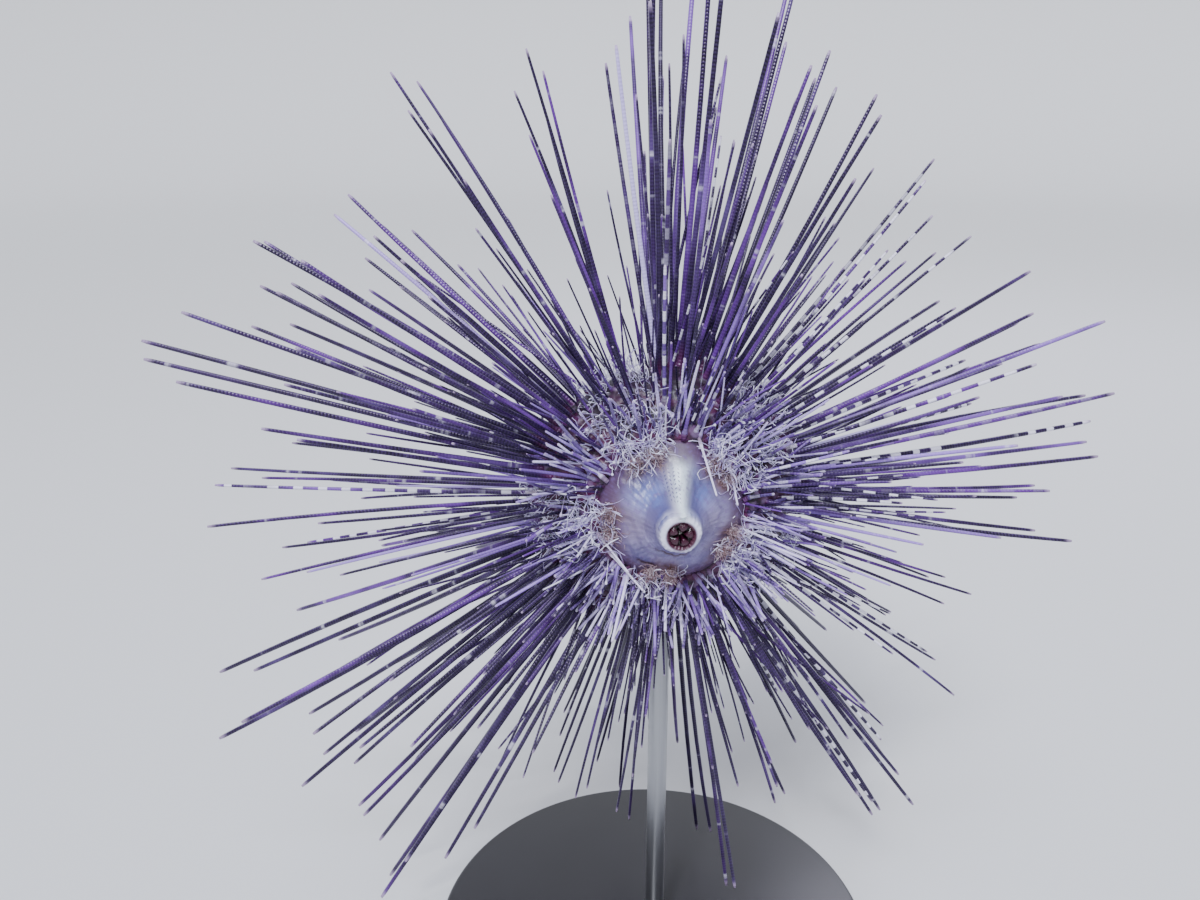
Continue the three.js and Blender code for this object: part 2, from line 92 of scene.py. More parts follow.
def testHeight(forward):  # the test is flatter on the mouth's side than behind
    return np.where(forward > 0, test["oralHeight"], test["aboralHeight"])


def onTest(angle, bearing):
    angle = np.radians(angle)
    power = 2.0 / test["squareness"]
    across = test["radius"] * np.sin(angle) ** power
    height = testHeight(np.cos(angle)) * np.sign(np.cos(angle)) * np.abs(np.cos(angle)) ** power
    return aroundAxis(across, np.radians(bearing), height)


def testNormal(points):
    power = test["squareness"]
    across = np.maximum(fromAxis(points), 1e-6)
    tall = testHeight(points[..., 2])
    slope = (across / test["radius"]) ** (power - 1) / test["radius"]
    rise = np.sign(points[..., 2]) * (np.abs(points[..., 2]) / tall) ** (power - 1) / tall
    return unit(np.stack([slope * points[..., 0] / across, slope * points[..., 1] / across, rise], axis=-1))


def ontoTest(points):  # the same points, drawn in or out to lie on the test
    power = test["squareness"]
    tall = testHeight(points[..., 2])
    size = (fromAxis(points) / test["radius"]) ** power + (np.abs(points[..., 2]) / tall) ** power
    return points * (size ** (-1.0 / power))[..., None]


# A wire is one socket, and arithmetic on wires adds Math nodes
class Wire:
    def __init__(self, sketch, socket):
        self.sketch, self.socket = sketch, socket

    def maths(self, operation, *others):
        return self.sketch.node("ShaderNodeMath", {"operation": operation}, dict(enumerate((self,) + others)))

    def __add__(self, other):
        return self.maths("ADD", other)

    def __mul__(self, other):
        return self.maths("MULTIPLY", other)

    __radd__, __rmul__ = __add__, __mul__

    def __rsub__(self, other):
        return (self * -1.0) + other


class Sketch:
    def __init__(self, name):
        self.material = bpy.data.materials.new(name)
        self.material.use_nodes = True
        self.tree = self.material.node_tree
        self.shader = self.tree.nodes["Principled BSDF"]

    def feed(self, socket, value):
        if isinstance(value, Wire):
            self.tree.links.new(value.socket, socket)
        elif socket.type == "RGBA":
            socket.default_value = (*value[:3], 1.0)
        else:
            socket.default_value = value

    def node(self, kind, settings=None, sockets=None, out=0):
        made = self.tree.nodes.new(kind)
        for key, value in (settings or {}).items():
            setattr(made, key, value)
        for key, value in (sockets or {}).items():
            self.feed(made.inputs[key], value)
        return Wire(self, made.outputs[out])

    def finish(self, **sockets):  # spaces in a socket's name are written as underscores
        for key, value in sockets.items():
            self.feed(self.shader.inputs[key.replace("_", " ")], value)
        return self.material

    def reads(self, attribute, out=2):  # out is 0 for a colour
        return self.node("ShaderNodeAttribute", {"attribute_name": attribute}, out=out)

    def blend(self, share, first, second):
        return self.node("ShaderNodeMix", {"data_type": "RGBA"}, {0: share, 6: first, 7: second}, 2)

    def paint(self, colour, layers):  # each layer has its share and tone, and lies over those before it
        for share, tone in layers:
            colour = self.blend(share, colour, tone)
        return colour

    def rise(self, value, low, high):
        return self.node("ShaderNodeMapRange", {"interpolation_type": "SMOOTHSTEP"},
                         {"Value": value, "From Min": low, "From Max": high})

    def place(self):
        return self.node("ShaderNodeTexCoord", out=3)

    def combined(self, x, y, z):
        return self.node("ShaderNodeCombineXYZ", None, {"X": x, "Y": y, "Z": z})

    def grain(self, scale, detail, vector=None):
        return self.node("ShaderNodeTexNoise", None,
                         {"Vector": vector or self.place(), "Scale": scale, "Detail": detail})

    def cells(self, scale):
        return self.node("ShaderNodeTexVoronoi", None, {"Vector": self.place(), "Scale": scale})

    def bump(self, height, distance, strength):
        return self.node("ShaderNodeBump", None,
                         {"Height": height, "Distance": distance, "Strength": strength})


def wave(wire, pitch):  # from 0 to 1 and back once each pitch
    return (wire * (2.0 * math.pi / pitch)).maths("SINE") * 0.5 + 0.5


def addAttribute(mesh, key, values):  # one number for each point, or four for a colour
    values = np.asarray(values, np.float32)
    kind, field = ("FLOAT_COLOR", "color") if values.ndim == 2 else ("FLOAT", "value")
    mesh.attributes.new(key, kind, "POINT").data.foreach_set(field, values.ravel())


def reshape(piece, points):
    piece.data.vertices.foreach_set("co", toRow(points).ravel())


def smooth(mesh):
    mesh.polygons.foreach_set("use_smooth", np.ones(len(mesh.polygons), bool))
    mesh.update()


def readPoints(mesh):
    places = np.empty(len(mesh.vertices) * 3, np.float32)
    mesh.vertices.foreach_get("co", places)
    return places.reshape(-1, 3)


def dress(piece, material, slot, *nodes):
    piece.data.materials.append(material)
    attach(piece, "root")
    if nodes:
        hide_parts(*nodes)


def newSphere(name, segments, rings):  # with each point's share of the way from pole to pole, and its turn
    bpy.ops.object.select_all(action="DESELECT")
    bpy.ops.mesh.primitive_uv_sphere_add(segments=segments, ring_count=rings, radius=1.0)
    piece = bpy.context.object
    piece.name = piece.data.name = name
    places = readPoints(piece.data).astype(float)
    return piece, np.arccos(places[:, 2].clip(-1, 1)) / np.pi, np.arctan2(places[:, 1], places[:, 0])


def sweep(paths, radii, sides):  # rings of points round each path
    tangents = unit(np.gradient(paths, axis=1))
    first = tangents[:, 0]
    pick = np.where(np.abs(first[:, 2:3]) < 0.8, np.array([0.0, 0.0, 1.0]), np.array([1.0, 0.0, 0.0]))
    normal = unit(pick - (pick * first).sum(-1, keepdims=True) * first)
    turn = np.arange(sides) * 2.0 * math.pi / sides
    rings = []
    for k in range(paths.shape[1]):
        tangent = tangents[:, k]
        normal = unit(normal - (normal * tangent).sum(-1, keepdims=True) * tangent)
        side = np.cross(tangent, normal)
        ring = np.cos(turn)[None, :, None] * normal[:, None] + np.sin(turn)[None, :, None] * side[:, None]
        rings.append(paths[:, k, None] + ring * radii[:, k, None, None])
    return np.stack(rings, axis=1)


def stemFaces(count, rings, sides):  # the walls of all stems, then their lower ends, then their tips
    ring = np.arange(sides)
    after = (ring + 1) % sides
    rows = (np.arange(rings - 1) * sides)[:, None]
    quad = np.stack([rows + ring, rows + after, rows + sides + after, rows + sides + ring], axis=-1)
    starts = np.arange(count) * rings * sides
    quads = (starts[:, None, None] + quad.reshape(-1, 4)).reshape(-1, 4)
    bottoms = starts[:, None] + ring[::-1]
    tops = starts[:, None] + (rings - 1) * sides + ring
    return quads.tolist() + bottoms.tolist() + tops.tolist()


unwrapLook = {"first": (0.02, 0.04), "span": (0.95, 0.9)}


def stemUnwrap(roots, rings, sides, patch):  # a small patch for each stem, where its root falls on the unwrap
    lean = np.degrees(np.arctan2(fromAxis(roots), roots[:, 2]))
    shares = np.stack([bearingOf(roots) / 360.0, lean / 180.0], axis=-1)
    spots = np.array(unwrapLook["first"]) + np.array(unwrapLook["span"]) * shares
    ring = np.arange(sides)
    share = np.linspace(0.0, 1.0, rings)
    low, high = share[:-1, None].repeat(sides, 1), share[1:, None].repeat(sides, 1)
    left = np.broadcast_to(ring / sides, low.shape)
    right = left + 1.0 / sides
    wall = np.stack([np.stack([left, low], -1), np.stack([right, low], -1),
                     np.stack([right, high], -1), np.stack([left, high], -1)], axis=2).reshape(-1, 2)
    bottom = np.stack([ring[::-1] / sides, np.zeros(sides)], -1)
    tip = np.stack([ring / sides, np.ones(sides)], -1)
    return np.concatenate([(spots[:, None] + part[None] * np.array(patch)).reshape(-1, 2)
                           for part in (wall, bottom, tip)])


def stems(name, paths, radii, sides, material, slot, perStem=None, perRing=None, patch=(0.003, 0.003),
          nodes=()):  # many stems as one piece, with the values of each stem and each ring as attributes
    paths, radii = np.asarray(paths, float), np.asarray(radii, float)
    count, rings = radii.shape
    points = toRow(sweep(paths, radii, sides)).reshape(-1, 3)
    mesh = bpy.data.meshes.new(name)
    mesh.from_pydata(points.tolist(), [], stemFaces(count, rings, sides))
    unwrap = mesh.uv_layers.new(name="OFBake")
    spread = stemUnwrap(paths[:, 0], rings, sides, patch)
    unwrap.data.foreach_set("uv", spread.astype(np.float32).ravel())
    for key, values in (perRing or {}).items():
        addAttribute(mesh, key, np.repeat(np.asarray(values).reshape(-1), sides))
    addAttribute(mesh, "around", np.tile(np.abs(2.0 * np.arange(sides) / sides - 1.0), count * rings))
    for key, values in (perStem or {}).items():
        values = np.asarray(values)
        if values.ndim == 2:
            values = np.column_stack([values, np.ones(len(values))])
        addAttribute(mesh, key, np.repeat(values, rings * sides, axis=0))
    smooth(mesh)
    piece = bpy.data.objects.new(name, mesh)
    bpy.context.scene.collection.objects.link(piece)
    dress(piece, material, slot, *nodes)


# The main spines are read from the solids, so that each one stands in its own solid. There a spine is a
# closed needle: its last ring stands at a known share of its length, with a known share of its root's girth.
needle = {"weld": 500, "shortestEdge": 2.4, "widest": 1.0, "slender": 0.35, "clearOfMouth": 12.0,
          "lastStretch": 0.3, "lastGirth": 0.6}


def solidSpines(node):
    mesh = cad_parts[node].data
    places = fromRow(readPoints(mesh))
    mesh.calc_loop_triangles()
    corners = np.empty(len(mesh.loop_triangles) * 3, np.int32)
    mesh.loop_triangles.foreach_get("vertices", corners)
    keys = np.round(places * needle["weld"]).astype(np.int64)
    _, first, welded = np.unique(keys, axis=0, return_index=True, return_inverse=True)
    places, corners = places[first], welded.ravel()[corners].reshape(-1, 3)
    touching = [set() for _ in places]
    for a, b, c in corners.tolist():
        touching[a] |= {b, c}
        touching[b] |= {a, c}
        touching[c] |= {a, b}
    found = []
    for at, near in enumerate(touching):
        near = sorted(near - {at})
        if len(near) not in (3, 4):
            continue
        ring = places[near]
        shortest = np.linalg.norm(ring - places[at], axis=1).min()
        middle = ring.mean(axis=0)
        girth = np.linalg.norm(ring - middle, axis=1)
        thick = girth.max() > min(needle["widest"], needle["slender"] * shortest)
        if thick or shortest < needle["shortestEdge"] or fromAxis(places[at]) < needle["clearOfMouth"]:
            continue
        whole = (places[at] - middle) / needle["lastStretch"]
        found.append([*(places[at] - whole), *whole, girth.mean() / needle["lastGirth"]])
    return np.array(found)


rayNodes = [("interambulacrum_%d" % n, "ambulacrum_%d" % n) for n in range(1, body["rays"] + 1)]
raySpines = [np.concatenate([solidSpines(node) for node in pair]) for pair in rayNodes]
print("stage: spines read from the solids", [len(main) for main in raySpines])

spineLook = {
    "seed": 500, "sides": 6, "mainGirth": 0.8, "bend": 0.012,
    # the first rings stand at fixed distances from the root, but within a share of the length
    "rings": [-1.3, 0.2, 0.7, 1.3, 2.4], "ringGirth": [1.25, 1.5, 1.45, 1.0, 0.92], "ringLimit": 0.15,
    "shares": [0.2, 0.4, 0.6, 0.78, 0.92, 0.985, 1.0],
    "shareGirth": [0.86, 0.82, 0.76, 0.7, 0.63, 0.58, 0.4],
    "whiteBearings": [99.0, 0.0], "bandedBearings": [10.0, 5.0, 41.0, 33.0, 350.0], "shortnessCost": 400.0,
    "patch": (0.003, 0.014),
}
thinLook = {"perRay": 125, "scatter": 2.6, "length": (0.16, 0.72), "lean": 0.12, "stray": 0.13,
            "girth": 0.21, "girthByLength": 0.0045}
spineTones = {
    "black": (0.0035, 0.001, 0.009),
    "plum": (0.024, 0.003, 0.056),
    "violet": (0.12, 0.022, 0.27),
    "lilac": (0.36, 0.22, 0.72),
    "pale": (0.6, 0.52, 0.92),
    "white": (0.88, 0.86, 1.0),
    "tip": (0.5, 0.38, 0.58),
    "foot": (0.12, 0.02, 0.08),
}
# a chance from 0 to 1 picks each spine's tone and banding, and each side of the animal shifts it (below,
# darker as painted shade):
# the bearing of its middle, where it starts and is full beside it, how much paler and less banded
spineSides = {
    "right": (350.0, 85.0, 30.0, 0.06, -0.12),
    "left": (180.0, 70.0, 25.0, 0.08, 0.0),
    # spines that point down are made darker: painted shade
    "below": (265.0, 75.0, 25.0, -0.34, 0.1),
}
# spines rooted near the mouth are made paler: partly their own colour, partly a painted highlight
toneChance = {"stops": [0.14, 0.54, 0.9, 1.04, 1.18], "tones": ("black", "plum", "violet", "lilac", "white"),
              "inner": 0.2, "innerAcross": (26.0, 18.0), "pale": (0.9, 1.06), "banded": (0.07, 0.02)}
spineMarks = {"bandPitch": 5.6, "beadPitch": 0.8, "relief": 0.00014}


def spineShapes(roots, runs, girths, draws):
    length = np.linalg.norm(runs, axis=1)
    along = unit(runs)
    fixed = np.broadcast_to(np.array(spineLook["rings"]), (len(runs), len(spineLook["rings"])))
    shared = length[:, None] * np.array(spineLook["shares"])
    reach = np.concatenate([np.minimum(fixed, length[:, None] * spineLook["ringLimit"]), shared], axis=1)
    sideways = unit(np.cross(along, unit(draws.normal(size=runs.shape))))
    bow = (reach / length[:, None]).clip(0, 1)
    bend = spineLook["bend"] * length * draws.uniform(-1, 1, len(runs))
    paths = roots[:, None] + along[:, None] * reach[..., None]
    paths = paths + sideways[:, None] * (bend[:, None] * bow * (1 - bow) * 4)[..., None]
    profile = np.array(spineLook["ringGirth"] + spineLook["shareGirth"])
    return paths, girths[:, None] * profile, reach, bow


def tonesAt(roll, stops, keys):
    tones = np.array([spineTones[key] for key in keys])
    return np.stack([np.interp(roll, stops, tones[:, channel]) for channel in range(3)], axis=-1)


def spineColours(roots, runs, draws):
    inner = ramp(fromAxis(roots), *toneChance["innerAcross"]) * (roots[:, 2] > 0)
    roll = draws.uniform(size=len(roots))
    chance = draws.uniform(size=len(roots))
    for middle, start, full, paler, lessBanded in spineSides.values():
        facing = ramp(np.abs(turnBetween(middle, bearingOf(runs))), start, full)
        roll = roll + paler * facing
        chance = chance + lessBanded * facing
    # paler near the mouth: partly the spines' own colour, partly a painted highlight
    roll = roll + toneChance["inner"] * inner
    base = tonesAt(roll, toneChance["stops"], toneChance["tones"])
    return base, ramp(chance, *toneChance["banded"]), ramp(roll, *toneChance["pale"])


def spineMaterial():
    s = Sketch("bandedSpine")
    along, seed, share = s.reads("along"), s.reads("seed"), s.reads("share")
    banding, paleness, base = s.reads("banding"), s.reads("paleness"), s.reads("tone", 0)
    slow = s.grain(1.0, 2.0, s.combined(along * 0.05, seed * 37.0, seed * 11.0))
    marks = s.grain(1.0, 3.0, s.combined(along * 0.3, seed * 71.0, seed * 5.0))
    # a lilac version of the tone, for the spine's own slow flushes and for the painted sheen on its grooves
    lilacFlushAndSheen = s.blend(0.4, base, spineTones["lilac"])
    # fine beads round the stem, and grooves along it whose lighter lilac lines are a painted sheen
    beads = wave(along + marks * 0.4, spineMarks["beadPitch"])
    streak = wave(s.reads("around") * 10.0, 5.0)
    # some spines carry short even bands of white, and many a few soft pale patches
    even = wave(along + slow * 6.0 + seed * 9.0, spineMarks["bandPitch"])
    bands = s.rise(even + marks * 0.6, 0.86, 0.98) * banding * s.rise(slow, 0.36, 0.46)
    pale = bands.maths("MAXIMUM", s.rise(marks + slow * 0.3, 0.78, 0.9) * 0.5)
    shade = s.blend(s.rise(slow, 0.42, 0.6).maths("MAXIMUM", paleness), spineTones["black"], base)
    colour = s.paint(shade, [
        (s.rise(slow, 0.55, 0.72) * 0.5, lilacFlushAndSheen),
        # painted sheen: lighter lilac lines along the grooves, over the beads' own pale rings
        (streak * s.rise(marks, 0.3, 0.7) * 0.4 + beads * 0.14, lilacFlushAndSheen),
        (pale * 0.92, spineTones["white"]),
        (s.rise(share, 0.97, 1.0) * 0.75, spineTones["tip"]),
        (s.rise(share, 0.08, 0.0) * 0.7, spineTones["foot"]),
    ])
    relief = s.bump(beads * 0.6 + streak * 0.6, spineMarks["relief"], 0.6)
    return s.finish(Base_Color=colour, Roughness=pale * 0.14 + 0.32, Normal=relief,
                    Specular_IOR_Level=0.5, Specular_Tint=(0.85, 0.75, 1.0, 1.0))


def thinSpines(main, draws):  # finer spines that stand among the main ones and follow their lie
    pick = draws.integers(0, len(main), thinLook["perRay"])
    roots, runs = main[pick, :3], main[pick, 3:6]
    roots = ontoTest(roots + draws.normal(size=roots.shape) * thinLook["scatter"])
    length = np.linalg.norm(runs, axis=1) * draws.uniform(*thinLook["length"], len(runs))
    stray = draws.normal(size=runs.shape) * thinLook["stray"]
    heading = unit(unit(runs) + thinLook["lean"] * testNormal(roots) + stray)
    return roots, heading * length[:, None], thinLook["girth"] + thinLook["girthByLength"] * length


def nearestSpines(bearings):  # the ray and number of the long spine that points nearest to each bearing
    every = np.concatenate(raySpines)
    ray = np.concatenate([np.full(len(main), number) for number, main in enumerate(raySpines)])
    number = np.concatenate([np.arange(len(main)) for main in raySpines])
    runs = every[:, 3:6]
    cost = spineLook["shortnessCost"] / fromAxis(runs)
    best = [np.argmin(np.abs(turnBetween(bearing, bearingOf(runs))) + cost) for bearing in bearings]
    return [(int(ray[at]), int(number[at])) for at in best]


def raySpinePiece(ray, main, whites, bandeds, material):
    draws = np.random.default_rng(spineLook["seed"] + ray)
    thinRoots, thinRuns, thinGirths = thinSpines(main, draws)
    roots = np.concatenate([main[:, :3], thinRoots])
    runs = np.concatenate([main[:, 3:6], thinRuns])
    girths = np.concatenate([main[:, 6] * spineLook["mainGirth"], thinGirths])
    paths, radii, reach, share = spineShapes(roots, runs, girths, draws)
    tone, banding, paleness = spineColours(roots, runs, draws)
    for owner, at in whites:
        if owner == ray:
            tone[at], paleness[at], banding[at] = spineTones["pale"], 1.0, 0.0
    for owner, at in bandeds:
        if owner == ray:
            tone[at], banding[at] = spineTones["plum"], 1.0
    seeds = draws.uniform(size=len(roots))
    stems("spines_ray_%d" % (ray + 1), paths, radii, spineLook["sides"], material, "plates",
          perStem={"seed": seeds, "banding": banding, "tone": tone, "paleness": paleness},
          perRing={"along": reach, "share": share}, patch=spineLook["patch"])


banded = spineMaterial()
whiteSpines = nearestSpines(spineLook["whiteBearings"])
bandedSpines = nearestSpines(spineLook["bandedBearings"])
for ray, main in enumerate(raySpines):
    raySpinePiece(ray, main, whiteSpines, bandedSpines, banded)
print("stage: spines grown")

# The skin is one surface over the membrane, the test and the apical disc
skinLook = {"segments": 320, "rings": 300, "shellRows": 120, "shellSink": 0.05, "bossEnd": -16.8,
            "ridge": 0.6, "ridgeSink": 0.2, "folds": 0.05, "foldCounts": (46.0, 31.0), "boss": 0.7,
            "bossReach": 2.0, "lumps": 0.6, "lumpSizes": ((5.0, 0.5), (1.8, 0.12)),
            # where forms fade in beyond the lip and out before the rim, and where the throat's tone starts
            "formsFrom": (3.4, 4.4), "formsTo": (16.4, 14.0), "throat": (3.7, 3.1)}
# the pale ridge above the mouth, which also carries a painted highlight
browLook = {"bearing": 86.0, "turn": 8.0, "fan": 40.0}
gillBed = (13.0, 13.4, 3.2)  # the spread of its bearing, its distance and the spread of that
lipLook = {"across": 4.8, "below": 3.0, "pucker": 0.12, "wrinkles": 0.07, "wrinkleCount": 23.0,
           "lean": 0.4, "leanBearing": 118.0, "leanFrom": (3.0, 4.2)}
lumpLook = {"waves": 28, "spread": (0.7, 1.8), "level": 7.0}
# forms on the membrane: the bearing of the middle and its spread, the distance and its spread, and the rise
membraneForms = {
    "snout": (88.0, 15.0, 8.0, 5.5, 1.9),
    "lipLeft": (140.0, 60.0, 4.6, 1.0, 0.8),
    "hollowLeft": (134.0, 24.0, 8.4, 4.2, -0.8),
    "hollowRight": (46.0, 20.0, 9.5, 4.5, -0.8),
    "cheekLeft": (185.0, 34.0, 9.5, 4.0, 0.9),
    "cheekRight": (8.0, 30.0, 9.0, 4.0, 0.7),
    "chin": (270.0, 34.0, 8.8, 2.2, 0.9),
}
membraneCreases = [
    {"bearing": 262.0, "spread": 34.0, "at": 7.6, "width": 0.42, "depth": 0.5},
    {"bearing": 242.0, "spread": 12.0, "at": 13.2, "width": 0.5, "depth": 0.4},
]
backMarks = {"lineTurn": 11.0, "lineWidth": 0.42, "spotAcross": 6.7, "spotSize": 0.75, "spotCore": 0.5}
# the profile, as distance from the axis and height
membraneProfile = [
    (0.0, top - 6.0), (2.3, top - 6.0), (2.35, top - 3.5), (2.4, top - 1.5), (2.6, top - 0.5),
    (3.05, top + 0.1), (3.75, top + 0.1), (4.45, top - 0.6), (4.8, top - 2.2), (5.4, top - 4.6),
    (7.2, top - 7.4), (9.8, top - 10.0), (12.8, top - 12.0), (15.0, top - 13.5), (16.3, top - 14.9),
    (16.75, top - 15.4)]
apicalProfile = [(7.6, -16.9), (7.0, -17.15), (5.3, -17.55), (3.6, -17.65), (0.0, -17.7)]
lipRow, rimRow = 6, len(membraneProfile) - 1


def skinProfile():  # evenly spaced, but closer together on the membrane
    angles = np.linspace(test["firstAngle"] + 0.8, test["lastAngle"], skinLook["shellRows"])
    side = onTest(angles, 0.0)
    shell = np.stack([side[:, 0] - skinLook["shellSink"], side[:, 2]], axis=-1)
    path = np.concatenate([membraneProfile, shell, apicalProfile])
    steps = np.linalg.norm(np.diff(path, axis=0), axis=1)
    fine = np.where(np.arange(len(steps)) < len(membraneProfile), 2.6, 1.0)
    fine[0] = 0.8
    walked = np.concatenate([[0.0], np.cumsum(steps * fine)])
    return path, walked


def lumps(points, size, draws):  # gentle lumps of about a size, from -1 to 1
    total = np.zeros(len(points))
    for _ in range(lumpLook["waves"]):
        way = unit(draws.normal(size=3)) * 2.0 * np.pi / (size * draws.uniform(*lumpLook["spread"]))
        total += np.sin(points @ way + draws.uniform(0, 6.28))
    return total / lumpLook["level"]


def mound(bearing, across, middle, turn, distance, spread):  # 1 in the middle, fading with turn and distance
    return np.exp(-((turnBetween(middle, bearing) / turn) ** 2) - ((across - distance) / spread) ** 2)


def jawWave(bearing):  # 1 at each interradius and -1 between
    return np.cos(body["rays"] * np.radians(bearing - body["firstInterradius"]))


def membraneRelief(across, turn, bearing, height):  # deepest halfway from the lip to the rim
    fade = np.sin(np.pi * ((across - mouth["lip"]) / (mouth["rim"] - mouth["lip"])).clip(0, 1))
    many, fewer = skinLook["foldCounts"]
    ripple = np.sin(many * turn + 3.0 * np.sin(3.0 * turn) + across * 0.5)
    ripple = ripple + 0.7 * np.sin(fewer * turn - across)
    flat = aroundAxis(across, turn, height)
    uneven = sum(level * lumps(flat, size, dice) for size, level in skinLook["lumpSizes"])
    relief = skinLook["ridge"] * jawWave(bearing) - skinLook["ridgeSink"] + skinLook["folds"] * ripple
    return fade * (relief + skinLook["lumps"] * uneven)


def creaseBand(crease, across, bearing):
    around = np.radians(bearing)
    line = crease["at"] + 0.35 * np.sin(around * 7.0) + 0.2 * np.sin(around * 23.0)
    aside = turnBetween(crease["bearing"], bearing) / crease["spread"]
    return np.exp(-((across - line) / crease["width"]) ** 2) * np.exp(-aside ** 4)


def lipShift(across, turn, bearing, height):  # the lip is a little puckered and leans to one side
    onLip = (across < lipLook["across"]) & (height > top - lipLook["below"])
    wrinkles = lipLook["wrinkles"] * np.sin(lipLook["wrinkleCount"] * turn)
    pucker = lipLook["pucker"] * jawWave(bearing) + wrinkles
    lean = lipLook["lean"] * np.cos(np.radians(bearing - lipLook["leanBearing"]))
    return onLip * (pucker + lean * ramp(across, *lipLook["leanFrom"]))


def bosses(points, shell):  # from 0 to 1, how far a point is up the boss under a main spine
    boss = np.zeros(len(points))
    for root in np.concatenate(raySpines)[:, :3]:
        near = shell[(np.abs(points[shell] - root) < skinLook["bossReach"]).all(axis=1)]
        gap = np.linalg.norm(points[near] - root, axis=1) / skinLook["bossReach"]
        boss[near] = np.maximum(boss[near], 1.0 - gap.clip(0, 1) ** 2)
    return boss


def backDistances(points, across, bearing, height):  # millimetres to the nearest bright line and spot
    lineGap, spotGap = np.full(len(points), 9.0), np.full(len(points), 9.0)
    for interradius in interradii:
        middle = aroundAxis(backMarks["spotAcross"], np.radians(interradius), 0.0)
        spotGap = np.minimum(spotGap, fromAxis(points - middle) + 9.0 * (height > -10))
        for side in (-1, 1):
            turned = turnBetween(interradius + side * backMarks["lineTurn"], bearing)
            lineGap = np.minimum(lineGap, np.abs(np.radians(turned)) * across)
    return lineGap, spotGap


def skinSurface():
    skin, row, turn = newSphere("skin", skinLook["segments"], skinLook["rings"])
    path, walked = skinProfile()
    walk = row * walked[-1]
    across, height = np.interp(walk, walked, path[:, 0]), np.interp(walk, walked, path[:, 1])
    bearing = np.degrees(turn) % 360.0
    onMembrane = (walk > walked[lipRow]) & (walk < walked[rimRow])
    swells = {key: mound(bearing, across, *form[:4]) for key, form in membraneForms.items()}
    bands = [creaseBand(crease, across, bearing) * onMembrane for crease in membraneCreases]
    lift = onMembrane * membraneRelief(across, turn, bearing, height)
    formed = onMembrane * ramp(across, *skinLook["formsFrom"]) * ramp(across, *skinLook["formsTo"])
    for key, form in membraneForms.items():
        lift += formed * form[4] * swells[key]
    for crease, band in zip(membraneCreases, bands):
        lift -= crease["depth"] * band
    across = across + lipShift(across, turn, bearing, height)
    points = aroundAxis(across, turn, height + lift)
    onShell = walk >= walked[rimRow]
    boss = bosses(points, np.flatnonzero(onShell))
    proud = onShell & (height > skinLook["bossEnd"])
    points += testNormal(points) * (proud * boss ** 1.5 * skinLook["boss"])[:, None]
    reshape(skin, points)
    membrane = ramp(walk, walked[rimRow] + 1.0, walked[rimRow - 1] - 1.0)
    browSpread = browLook["turn"] + browLook["fan"] / across.clip(3, None)  # it widens towards the lip
    browPaleAndHighlight = np.exp(-(turnBetween(browLook["bearing"], bearing) / browSpread) ** 2) * membrane
    nearGill = np.max([mound(bearing, across, gill, *gillBed) for gill in gillBearings], axis=0)
    lineGap, spotGap = backDistances(points, across, bearing, height)
    readings = {
        "membrane": membrane, "browPaleAndHighlight": browPaleAndHighlight, "creaseShade": np.max(bands, axis=0), "nearGill": nearGill,
        "hollowShade": (swells["hollowLeft"] + swells["hollowRight"]).clip(0, 1),
        "cheek": (swells["cheekLeft"] + swells["cheekRight"] * 0.8).clip(0, 1),
        "lineGap": lineGap, "spotGap": spotGap, "across": across, "bearing": bearing, "boss": boss,
        "heightOut": height, "inMouth": ramp(across, *skinLook["throat"]) * (height > 15),
    }
    for key, values in readings.items():
        addAttribute(skin.data, key, values)
    skin.data.uv_layers[0].name = "OFBake"
    smooth(skin.data)
    return skin


skinTones = {
    "membraneShade": (0.09, 0.083, 0.23), "membrane": (0.27, 0.28, 0.54), "cheek": (0.24, 0.19, 0.3),
    # the hollow's blue and the chin's tone are painted shade
    "hollowShade": (0.07, 0.13, 0.42), "lip": (0.77, 0.77, 0.98), "chin": (0.33, 0.27, 0.49),
    # the snout's white-blue is partly the ridge's own pale colour, partly a painted highlight
    "snout": (0.8, 0.91, 1.0), "snoutSide": (0.7, 0.58, 0.78), "rim": (0.09, 0.04, 0.09),
    "gillBed": (0.16, 0.085, 0.08), "vein": (0.16, 0.1, 0.28), "spoke": (0.14, 0.1, 0.24),
    # the crease's dark is painted shade
    "dash": (0.09, 0.08, 0.2), "crease": (0.06, 0.025, 0.035), "throat": (0.06, 0.01, 0.03),
    "testFront": (0.09, 0.003, 0.062), "testBack": (0.008, 0.003, 0.014), "blotch": (0.016, 0.004, 0.02),
    "speck": (0.14, 0.05, 0.18), "knob": (0.2, 0.12, 0.26), "line": (0.015, 0.14, 0.66),
    "spot": (0.8, 0.82, 0.88),
}


